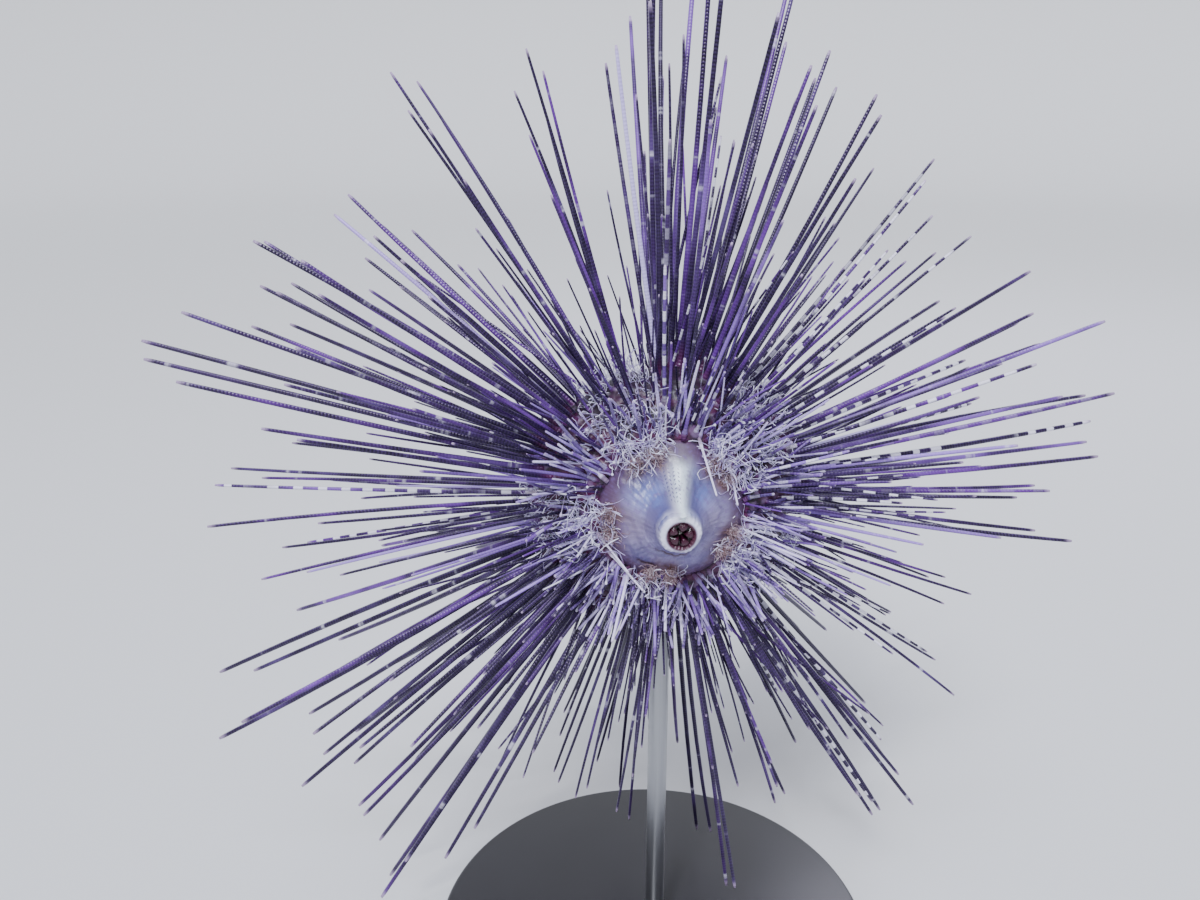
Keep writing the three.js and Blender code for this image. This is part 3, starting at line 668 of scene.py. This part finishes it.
def skinMaterial():
    s = Sketch("urchinSkin")
    tones = skinTones
    membrane, browPaleAndHighlight, boss = s.reads("membrane"), s.reads("browPaleAndHighlight"), s.reads("boss")
    across, bearing, out = s.reads("across"), s.reads("bearing"), s.reads("heightOut")
    cloud, fine, cells = s.grain(140.0, 4.0), s.grain(900.0, 3.0), s.cells(620.0)
    # the membrane: pale lilac with beige on the cheeks and brown at its edge; blue painted shade in the
    # hollows, painted shade low down and in the creases, and a painted highlight on the pale ridge
    # strongest at the bottom: the share of painted shade over the membrane and the lip
    below = wave(bearing + 180.0, 360.0) * s.rise(cloud, 0.3, 0.6)
    spokes = s.rise(wave(bearing + cloud * 5.0, 3.1), 0.75, 0.95) * s.rise(across, 6.5, 9.0)
    columns = s.rise(wave(bearing + 2.0, 5.2), 0.5, 0.8)
    strokes = s.rise(wave(across * 10.0 + wave(bearing, 10.4) * 4.0, 7.0), 0.6, 0.85)
    window = s.rise(across, 5.6, 6.6) * s.rise(across, 13.0, 11.0)
    window = window * s.rise(bearing, 84.0, 88.0) * s.rise(bearing, 112.0, 106.0)
    soft = s.paint(s.blend(s.rise(cloud, 0.38, 0.66), tones["membraneShade"], tones["membrane"]), [
        (s.reads("cheek") * 0.85, tones["cheek"]),
        # blue painted shade in the hollows beside the ridge
        (s.reads("hollowShade") * s.rise(cloud, 0.28, 0.56) * 0.85, tones["hollowShade"]),
        (s.rise(across + cloud * 1.4, 5.9, 4.9), tones["lip"]),
        # painted shade over the lower side of the membrane and lip
        (below * 0.5, tones["chin"]),
        # the pale ridge brightened to white-blue: partly its own colour, partly a painted highlight
        (browPaleAndHighlight * 0.95, tones["snout"]),
        # the ridge's left half is pinkish white, so the painted highlight stays on its right half
        (browPaleAndHighlight * s.rise(bearing, 92.0, 104.0) * 0.7, tones["snoutSide"]),
        (s.rise(across + cloud * 5.0, 13.5, 17.5) * 0.9, tones["rim"]),
        (s.reads("nearGill") * s.rise(cloud, 0.35, 0.6), tones["gillBed"]),
        (s.rise(fine, 0.5, 0.7) * s.rise(across, 5.0, 8.0) * 0.5, tones["vein"]),
        (spokes * (1.0 - browPaleAndHighlight) * 0.22, tones["spoke"]),
        (columns * strokes * window * 0.9, tones["dash"]),
        # painted shade in the creases
        (s.reads("creaseShade") * 0.95, tones["crease"]),
        (s.reads("inMouth"), tones["throat"]),
    ])
    # the test: reddish purple near the mouth and almost black behind, with paler knobs and dotted lines
    dots = s.rise(wave(across + cloud * 1.5, 1.15), 0.12, 0.4)
    width = backMarks["lineWidth"]
    lines = s.rise(s.reads("lineGap"), width, width * 0.5) * s.rise(out, -4.0, -10.0) * dots
    hard = s.paint(s.blend(s.rise(out, 13.0, 2.0), tones["testFront"], tones["testBack"]), [
        (s.rise(cloud, 0.56, 0.44), tones["blotch"]),
        (s.rise(cells, 0.3, 0.16) * 0.4, tones["speck"]),
        (s.rise(boss, 0.5, 0.85) * 0.6, tones["knob"]),
        (lines * 0.9, tones["line"]),
        (s.rise(s.reads("spotGap"), backMarks["spotSize"], backMarks["spotCore"]), tones["spot"]),
    ])
    relief = fine * 0.25 + cells * -0.5 * (1.0 - membrane) + cloud * 0.3
    return s.finish(Base_Color=s.blend(membrane, hard, soft), Roughness=membrane * -0.08 + fine * 0.1 + 0.4,
                    Normal=s.bump(relief, 0.0005, 0.8), Specular_IOR_Level=0.6,
                    Subsurface_Weight=0.12, Subsurface_Radius=(0.002, 0.0012, 0.0016), Subsurface_Scale=1.0)


dress(skinSurface(), skinMaterial(), "membrane",
      *[node for pair in rayNodes for node in pair], "peristome", "apical_disc")
print("stage: skin laid")

# The mouth has five dark lobes round a star, with the points of the teeth in it
flowerLook = {"segments": 120, "rings": 64, "frontShare": 0.62, "across": 2.7, "backAcross": 2.65,
              "down": 1.1, "bulge": 1.1, "pit": 2.2, "backDepth": 3.6, "wrinkles": 0.05,
              "dark": (0.002, 0.0004, 0.0015), "red": (0.042, 0.002, 0.018)}


def mouthFlower():
    look = flowerLook
    flower, row, turn = newSphere("mouth_flower", look["segments"], look["rings"])
    petal = np.abs(np.cos(body["rays"] / 2.0 * (turn - np.radians(body["firstInterradius"]))))
    front = np.clip(row / look["frontShare"], 0, 1)
    behind = (row - look["frontShare"]) / (1.0 - look["frontShare"])
    onBack = row > look["frontShare"]
    backAcross = look["backAcross"] * np.cos(behind.clip(0, 1) * np.pi / 2) ** 0.5
    across = np.where(onBack, backAcross, look["across"] * front ** 0.8)
    bulge = np.sin(np.pi * ((across / 2.8 - 0.1) / 1.05).clip(0, 1)) ** 0.6 * (0.35 + 0.65 * petal ** 0.5)
    pit = look["pit"] * np.exp(-(across / (0.5 + 0.8 * (1.0 - petal) ** 1.4)) ** 2)
    height = top - look["down"] + look["bulge"] * bulge - pit
    height = np.where(onBack, top - look["down"] - 0.05 - look["backDepth"] * behind, height)
    height += look["wrinkles"] * np.sin(turn * 40.0) * front
    reshape(flower, aroundAxis(across, turn, height))
    addAttribute(flower.data, "petal", petal * bulge)
    smooth(flower.data)
    s = Sketch("wetLip")
    cloud = s.grain(1500.0, 3.0)
    colour = s.blend(s.rise(s.reads("petal") + cloud * 0.4, 0.2, 1.05), look["dark"], look["red"])
    s.finish(Base_Color=colour, Roughness=cloud * 0.2 + 0.18, Normal=s.bump(cloud, 0.0003, 0.8),
             Coat_Weight=0.25)
    dress(flower, s.material, "lip", "mouth_lobes")


toothLook = {"sides": 8, "footAcross": 0.75, "footDown": 4.6, "tipAcross": 0.26, "tipDown": 2.0,
             "shares": (0.0, 0.5, 0.8, 0.95, 1.0), "girths": (0.3, 0.28, 0.2, 0.12, 0.05),
             "shade": (0.7, 0.68, 0.62), "white": (0.9, 0.9, 0.88)}


def toothPoints():
    look = toothLook
    paths = []
    for bearing in ambulacra:
        foot = aroundAxis(look["footAcross"], math.radians(bearing), top - look["footDown"])
        tip = aroundAxis(look["tipAcross"], math.radians(bearing), top - look["tipDown"])
        paths.append([foot + (tip - foot) * share for share in look["shares"]])
    s = Sketch("toothEnamel")
    s.finish(Base_Color=s.blend(s.grain(2500.0, 2.0), look["shade"], look["white"]), Roughness=0.2)
    radii = [look["girths"]] * len(paths)
    stems("tooth_points", paths, radii, look["sides"], s.material, "teeth", nodes=("teeth",))


mouthFlower()
toothPoints()
print("stage: mouth set")

# Soft growths: tube feet, gills, pincers on stalks, and blunt spines round the mouth
footLook = {"seed": 91, "perRay": (400, 330, 150, 320, 420), "rings": 10, "sides": 4,
            "girth": (0.045, 0.085), "rise": (2.5, 9.0), "curl": (0.8, 2.8), "stray": 0.35,
            "inward": 1.1, "inwardAcross": (22.0, 17.5),
            "span": 118.0, "crowding": 1.9, "aside": (2.0, 19.0), "sunk": 0.4, "clear": 0.3,
            "profile": (1.5, 1.2, 1, 1, 1, 0.95, 0.9, 0.95, 1.7, 1.4),
            "pale": (0.82, 0.8, 1.0), "dark": (0.38, 0.3, 0.6)}
gillLook = {"seed": 92, "filaments": 110, "rings": 5, "sides": 4, "girth": 0.055, "length": (1.6, 3.6),
            "across": 14.6, "sunk": 0.2, "tuft": (0.75, 0.75, 0.15), "lean": 0.35, "stray": 0.55,
            "curl": 0.16, "clear": 0.1,
            "profile": (1.5, 1.2, 1.0, 0.9, 0.5), "pale": (0.58, 0.46, 0.52), "dark": (0.2, 0.1, 0.1)}
pincerLook = {"seed": 93, "count": 240, "rings": 7, "sides": 5, "span": 120.0, "crowding": 1.6,
              "stray": 0.3, "rise": (3.5, 9.5), "sunk": 0.3, "clear": 0.3,
              "shares": (0.0, 0.3, 0.6, 0.85, 0.92, 0.97, 1.0),
              "girths": (0.14, 0.1, 0.09, 0.1, 0.3, 0.34, 0.1),
              "pale": (0.75, 0.72, 0.9), "dark": (0.4, 0.3, 0.5)}
bluntLook = {"seed": 94, "upper": 90, "lower": 140, "upperBearings": (-10, 185), "lowerBearings": (185, 350),
             "span": 14.0, "length": (6.0, 17.0), "girth": (0.28, 0.54), "outward": 0.55, "stray": 0.3,
             "clear": 0.35, "tipGirths": (0.7, 0.68, 0.45), "tone": (0.2, 1.7), "lowerTone": 0.2,
             "palest": (0.9, 1.7), "banding": (0, 0.4), "patch": (0.003, 0.004),
             # a few long ones that cross the membrane, as root and run
             "crossing": [(6.0, 16.2, 13.6, 2.4, -9.4, 8.8), (12.5, 12.0, 13.6, 1.2, -8.6, 6.0),
                          (-16.4, -5.5, 13.4, 6.0, -6.5, 6.2), (-14.0, -9.8, 13.4, 7.0, -7.0, 5.6)],
             "crossingGirth": 0.32, "crossingTone": 1.8}


def membraneHeight(across):
    outer = np.array(membraneProfile[lipRow:])
    return np.interp(across, outer[:, 0], outer[:, 1])


def liftOff(paths, clear):  # keeps a path above the membrane
    across = fromAxis(paths)
    floor = membraneHeight(across) + clear
    under = (across < mouth["rim"]) & (paths[..., 2] < floor) & (paths[..., 2] > 0)
    paths[..., 2] = np.where(under, floor, paths[..., 2])
    return paths


def curled(roots, out, rise, curl, rings, draws):
    share = np.linspace(0.0, 1.0, rings)
    first = unit(np.cross(out, unit(draws.normal(size=out.shape))))
    phase = draws.uniform(0, 2 * np.pi, (2, len(roots), 1))
    pace = draws.uniform(2.5, 6.5, (2, len(roots), 1))
    swing = curl[:, None] * share
    paths = roots[:, None] + out[:, None] * (rise[:, None] * share)[..., None]
    for k, way in enumerate((first, np.cross(out, first))):
        sway = np.sin(pace[k] * share + phase[k]) - np.sin(phase[k])
        paths = paths + way[:, None] * (swing * sway)[..., None]
    return paths


def softStems(name, materialName, look, paths, profile, seeds, slot, roughness=0.4):
    s = Sketch(materialName)
    cloud = s.grain(700.0, 3.0)
    mixed = s.blend(s.rise(cloud * 0.5 + s.reads("seed") * 0.7, 0.25, 0.85), look["dark"], look["pale"])
    s.finish(Base_Color=mixed, Roughness=cloud * 0.15 + roughness, Specular_IOR_Level=0.5,
             Subsurface_Weight=0.1, Subsurface_Radius=(0.001, 0.0007, 0.001))
    radii = np.broadcast_to(profile, paths.shape[:2])
    stems(name, liftOff(paths, look["clear"]), radii, look["sides"], s.material, slot,
          perStem={"seed": seeds})


def tubeFeet():
    look = footLook
    draws = np.random.default_rng(look["seed"])
    roots, rises, curls = [], [], []
    for middle, perRay in zip(ambulacra, look["perRay"]):
        for side in (-1, 1):
            count = perRay // 2
            share = draws.uniform(0, 1, count) ** look["crowding"]
            angle = test["firstAngle"] + 1.0 + look["span"] * share
            bearing = middle + side * (draws.uniform(*look["aside"], count) * (1.0 - 0.5 * share))
            roots.append(onTest(angle, bearing))
            rises.append(draws.uniform(*look["rise"], count) * (1.0 - 0.35 * share))
            curls.append(draws.uniform(*look["curl"], count) * (1.0 - 0.5 * share))
    roots, rises, curls = np.concatenate(roots), np.concatenate(rises), np.concatenate(curls)
    out = testNormal(roots)
    inward = unit(roots * np.array([-1.0, -1.0, 0.0]))
    over = ramp(fromAxis(roots), *look["inwardAcross"]) * (roots[:, 2] > 0) * draws.uniform(0, 1, len(roots))
    stray = draws.normal(size=out.shape) * look["stray"]
    out = unit(out + inward * (over * look["inward"])[:, None] + stray)
    paths = curled(roots - out * look["sunk"], out, rises, curls, look["rings"], draws)
    girth = draws.uniform(*look["girth"], len(roots))
    softStems("tube_feet", "tubeFoot", look, paths, girth[:, None] * np.array(look["profile"]),
              draws.uniform(size=len(roots)), "plates")


def gills():
    look = gillLook
    draws = np.random.default_rng(look["seed"])
    count = look["filaments"]
    paths, seeds = [], []
    for bearing in gillBearings:
        spot = math.radians(bearing)
        middle = aroundAxis(look["across"], spot, membraneHeight(look["across"]) - look["sunk"])
        roots = middle + draws.normal(size=(count, 3)) * np.array(look["tuft"])
        out = unit(aroundAxis(look["lean"], spot, 1.0) + draws.normal(size=(count, 3)) * look["stray"])
        out[:, 2] = np.abs(out[:, 2]) + 0.15
        rise = draws.uniform(*look["length"], count)
        paths.append(curled(roots, unit(out), rise, rise * look["curl"], look["rings"], draws))
        seeds.append(draws.uniform(size=count))
    profile = look["girth"] * np.array(look["profile"])
    softStems("gill_tufts", "gillTuft", look, np.concatenate(paths), profile,
              np.concatenate(seeds), "membrane", 0.5)


def pincers():
    look = pincerLook
    draws = np.random.default_rng(look["seed"])
    count = look["count"]
    angle = test["firstAngle"] + 2.0 + look["span"] * draws.uniform(0, 1, count) ** look["crowding"]
    roots = onTest(angle, draws.uniform(0, 360, count))
    out = unit(testNormal(roots) + draws.normal(size=roots.shape) * look["stray"])
    rise = draws.uniform(*look["rise"], count)
    paths = curled(roots - out * look["sunk"], out, rise, rise * 0.1, look["rings"], draws)
    # each stalk is straightened, from its root to its curl's end
    paths = paths[:, :1] + (paths[:, -1:] - paths[:, :1]) * np.array(look["shares"])[None, :, None]
    seeds = draws.uniform(size=count)
    softStems("pincer_stalks", "pincer", look, paths, np.array(look["girths"]), seeds, "plates")


def bluntSpines():
    look = bluntLook
    draws = np.random.default_rng(look["seed"])
    count = look["upper"] + look["lower"]
    bearing = np.concatenate([draws.uniform(*look["upperBearings"], look["upper"]),
                              draws.uniform(*look["lowerBearings"], look["lower"])])
    roots = onTest(test["firstAngle"] + 1.0 + draws.uniform(0, look["span"], count), bearing)
    way = aroundAxis(1.0, np.radians(bearing), np.zeros(count))
    stray = draws.normal(size=roots.shape) * look["stray"]
    length = draws.uniform(*look["length"], count)
    crossing = np.array(look["crossing"])
    runs = unit(way + testNormal(roots) * look["outward"] + stray) * length[:, None]
    roots, runs = np.concatenate([roots, crossing[:, :3]]), np.concatenate([runs, crossing[:, 3:]])
    crossingGirths = np.full(len(crossing), look["crossingGirth"])
    girths = np.concatenate([draws.uniform(*look["girth"], count), crossingGirths])
    paths, radii, reach, share = spineShapes(roots, runs, girths, draws)
    radii[:, -3:] = girths[:, None] * np.array(look["tipGirths"])
    roll = draws.uniform(*look["tone"], len(roots)) + look["lowerTone"] * (roots[:, 1] < 0)
    roll[-len(crossing):] = look["crossingTone"]
    tone = tonesAt(roll, [0, 1, 2], ("violet", "lilac", "white"))
    seeds, banding = draws.uniform(size=len(roots)), draws.uniform(*look["banding"], len(roots))
    stems("blunt_spines", liftOff(paths, look["clear"]), radii, spineLook["sides"], banded, "plates",
          perStem={"seed": seeds, "banding": banding, "tone": tone, "paleness": ramp(roll, *look["palest"])},
          perRing={"along": reach, "share": share}, patch=look["patch"])


tubeFeet()
gills()
pincers()
bluntSpines()
print("stage: soft growths set")

# The anal cone is a thin-skinned bulb in the middle of the back
bulbLook = {
    "segments": 96, "rings": 72, "folds": 16.0, "foldDepth": 0.06,
    "profile": [(0.0, -17.5), (3.2, -17.6), (3.65, -18.6), (3.7, -19.6), (3.35, -21.2), (2.3, -22.9),
                (1.4, -23.4), (0.9, -23.2), (0.6, -22.6), (0.0, -22.4)],
    "dark": (0.02, 0.012, 0.03), "speck": (0.16, 0.12, 0.2), "ring": (0.5, 0.24, 0.1),
}


def analBulb():
    look = bulbLook
    bulb, row, turn = newSphere("anal_bulb", look["segments"], look["rings"])
    profile = np.array(look["profile"])
    walked = np.linspace(0, 1, len(profile))
    folds = look["foldDepth"] * np.sin(turn * look["folds"]) * np.sin(np.pi * row)
    across = np.interp(row, walked, profile[:, 0]) + folds
    height = np.interp(row, walked, profile[:, 1])
    reshape(bulb, aroundAxis(across, turn, height))
    addAttribute(bulb.data, "toTip", row)
    smooth(bulb.data)
    s = Sketch("bulbSkin")
    toTip, cells = s.reads("toTip"), s.cells(900.0)
    ring = s.rise(toTip, 0.6, 0.66) * s.rise(toTip, 0.78, 0.72)
    dark = s.blend(s.rise(cells, 0.4, 0.2) * 0.6, look["dark"], look["speck"])
    s.finish(Base_Color=s.blend(ring * 0.8, dark, look["ring"]), Roughness=cells * 0.2 + 0.3,
             Normal=s.bump(cells, 0.0004, 0.5))
    dress(bulb, s.material, "cone", "anal_cone")


analBulb()
print("stage: bulb set")

# The stand: a turned base and a steel rod, each at the place and size of its own solid
baseLook = {"sides": 144, "edge": 0.0011, "dark": (0.016, 0.015, 0.02), "pale": (0.03, 0.029, 0.036)}
rodLook = {"sides": 48, "edge": 0.0003, "dark": (0.3, 0.305, 0.32), "pale": (0.44, 0.445, 0.46),
           "brush": (900.0, 900.0, 30.0)}


def turnedPiece(name, node, look, material, slot):
    places = readPoints(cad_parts[node].data)
    low, high = places.min(axis=0), places.max(axis=0)
    middle, size = (low + high) / 2.0, high - low
    bpy.ops.object.select_all(action="DESELECT")
    bpy.ops.mesh.primitive_cylinder_add(
        vertices=look["sides"], radius=float(size[0] / 2.0), depth=float(size[2]),
        location=[float(value) for value in middle])
    piece = bpy.context.object
    piece.name = piece.data.name = name
    bpy.ops.object.transform_apply(location=True, rotation=True, scale=True)
    bevel = piece.modifiers.new("edge", "BEVEL")
    bevel.width, bevel.segments, bevel.limit_method = look["edge"], 4, "ANGLE"
    bpy.ops.object.modifier_apply(modifier="edge")
    bpy.ops.object.shade_smooth_by_angle(angle=math.radians(35.0))
    dress(piece, material, slot, node)


def stand():
    s = Sketch("standBase")
    smudge = s.grain(22.0, 3.0)
    s.finish(Base_Color=s.blend(smudge, baseLook["dark"], baseLook["pale"]),
             Roughness=smudge * 0.18 + 0.22, Normal=s.bump(s.grain(900.0, 2.0), 0.00002, 0.3))
    turnedPiece("display_base", "stand_base", baseLook, s.material, "stand")
    s = Sketch("standRod")
    brushed = s.node("ShaderNodeMapping", None, {"Vector": s.place(), "Scale": rodLook["brush"]})
    lines = s.grain(1.0, 2.0, brushed)
    s.finish(Base_Color=s.blend(lines, rodLook["dark"], rodLook["pale"]), Metallic=1.0,
             Roughness=lines * 0.16 + 0.24, Normal=s.bump(lines, 0.00002, 0.4))
    turnedPiece("display_rod", "stand_rod", rodLook, s.material, "rod")


stand()
print("stage: stand set")

# The studio: a pale floor that curves up into a wall all round, soft light, and the photograph's view
studio = {"reach": 3.0, "curve": 1.6, "wall": 2.6, "grid": 96, "sunk": 0.0005, "wallFull": 1.6,
          "floorTone": (0.72, 0.73, 0.76), "wallTone": (0.3, 0.305, 0.32), "wallGlow": (0.5, 0.51, 0.53),
          "world": (0.88, 0.9, 0.94), "worldStrength": 0.42}
lamps = [  # kind, name, place, size in degrees or metres, power and colour
    ("SUN", "keyLamp", (-0.5, -1.2, 1.5), 11.0, 3.3, (0.92, 0.94, 1.0)),
    ("AREA", "topLamp", (-0.1, -0.35, 0.95), 0.22, 5.0, (0.8, 0.86, 1.0)),
    ("POINT", "backLamp", (0.5, 0.7, 0.7), 0.15, 8.0, (0.85, 0.84, 1.0)),
]
view = {"azimuth": -8.0, "elevation": 20.0, "distance": 0.249, "focus": 1039.0, "sensor": 36.0, "near": 0.01,
        "centre": (0.0, -0.008, 0.140), "centrePixel": (665.0, 490.0), "photo": (1200.0, 900.0)}


def paleFloor():
    bpy.ops.object.select_all(action="DESELECT")
    bpy.ops.mesh.primitive_grid_add(x_subdivisions=studio["grid"], y_subdivisions=studio["grid"], size=2.0)
    floor = bpy.context.object
    floor.name = "floor"
    sheet = readPoints(floor.data).astype(float)[:, :2]
    reach, curve = studio["reach"], studio["curve"]
    quarter = curve * np.pi / 2  # the length of the curve from floor to wall
    walked = np.abs(sheet).max(axis=1) * (reach + quarter + studio["wall"])
    bent = ((walked - reach) / curve).clip(0, np.pi / 2)
    out = np.minimum(walked, reach) + curve * np.sin(bent)
    raised = curve * (1 - np.cos(bent)) + (walked - reach - quarter).clip(0, None)
    points = np.column_stack([unit(sheet) * out[:, None], raised - studio["sunk"]])
    floor.data.vertices.foreach_set("co", points.ravel())
    addAttribute(floor.data, "raised", ramp(raised, 0.0, studio["wallFull"]))
    smooth(floor.data)
    s = Sketch("paleFloor")
    share = s.reads("raised")
    s.finish(Base_Color=s.blend(share, studio["floorTone"], studio["wallTone"]), Roughness=0.85,
             Emission_Color=s.blend(share, (0.0, 0.0, 0.0), studio["wallGlow"]), Emission_Strength=1.0)
    s.material.cycles.emission_sampling = "NONE"
    floor.data.materials.append(s.material)


def addLamp(kind, name, at, size, power, colour):
    lamp = bpy.data.lights.new(name, kind)
    lamp.energy, lamp.color = power, colour
    if kind == "SUN":
        lamp.angle = math.radians(size)
    elif kind == "AREA":
        lamp.size = size
    else:
        lamp.shadow_soft_size = size
    holder = bpy.data.objects.new(name, lamp)
    holder.location = at
    holder.rotation_euler = (Vector(view["centre"]) - Vector(at)).to_track_quat("-Z", "Y").to_euler()
    bpy.context.scene.collection.objects.link(holder)


def addCamera():
    azimuth, elevation = math.radians(view["azimuth"]), math.radians(view["elevation"])
    level = math.cos(elevation)
    back = Vector((math.sin(azimuth) * level, -math.cos(azimuth) * level, math.sin(elevation)))
    right = Vector((math.cos(azimuth), math.sin(azimuth), 0.0))
    centre = Vector(view["centre"])
    eye = centre + back * view["distance"]
    width, height = view["photo"]
    perPixel = view["distance"] / view["focus"]
    aside, down = view["centrePixel"][0] - width / 2.0, view["centrePixel"][1] - height / 2.0
    aim = centre - right * (aside * perPixel) + back.cross(right) * (down * perPixel)
    lens = bpy.data.cameras.new("camera")
    lens.sensor_width, lens.lens = view["sensor"], view["sensor"] * view["focus"] / width
    lens.clip_start = view["near"]
    camera = bpy.data.objects.new("camera", lens)
    camera.location = eye
    camera.rotation_euler = (aim - eye).to_track_quat("-Z", "Y").to_euler()
    bpy.context.scene.collection.objects.link(camera)
    bpy.context.scene.camera = camera


paleFloor()
world = bpy.data.worlds.new("studio")
world.use_nodes = True
world.node_tree.nodes["Background"].inputs["Color"].default_value = (*studio["world"], 1.0)
world.node_tree.nodes["Background"].inputs["Strength"].default_value = studio["worldStrength"]
bpy.context.scene.world = world
for lamp in lamps:
    addLamp(*lamp)
addCamera()
print("stage: camera and lights set")
